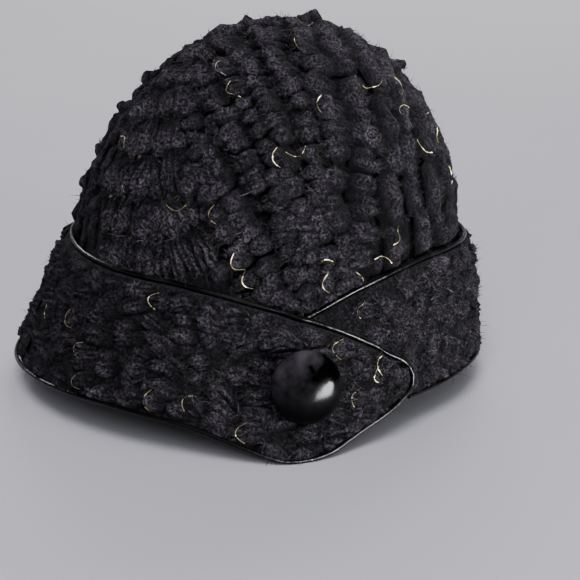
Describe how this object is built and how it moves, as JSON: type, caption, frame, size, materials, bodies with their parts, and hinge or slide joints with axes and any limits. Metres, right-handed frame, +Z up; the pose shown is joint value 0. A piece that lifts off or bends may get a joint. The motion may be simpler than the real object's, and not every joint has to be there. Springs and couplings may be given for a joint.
{
  "type": "cloche hat",
  "caption": "Deep cloche hat of ruched dark cloth with a wide wrap-round band, piped edges and a domed button on the tab.",
  "frame": {"origin": "middle of the hat's box, on the surface the hat rests on", "axes": "+Z up from that surface, -Y the front of the hat, +X the wearer's left, where the tab and button are"},
  "size_m": [0.2221, 0.2535, 0.1822],
  "materials": {
    "cloth": "ruched fuzzy yarn cloth with a thin metallic thread",
    "patent": "glossy patent",
    "gloss": "polished"
  },
  "bodies": {
    "root": {"crown": "cloth", "brim": "cloth", "piping": "patent", "button": "gloss"}
  },
  "joints": []
}
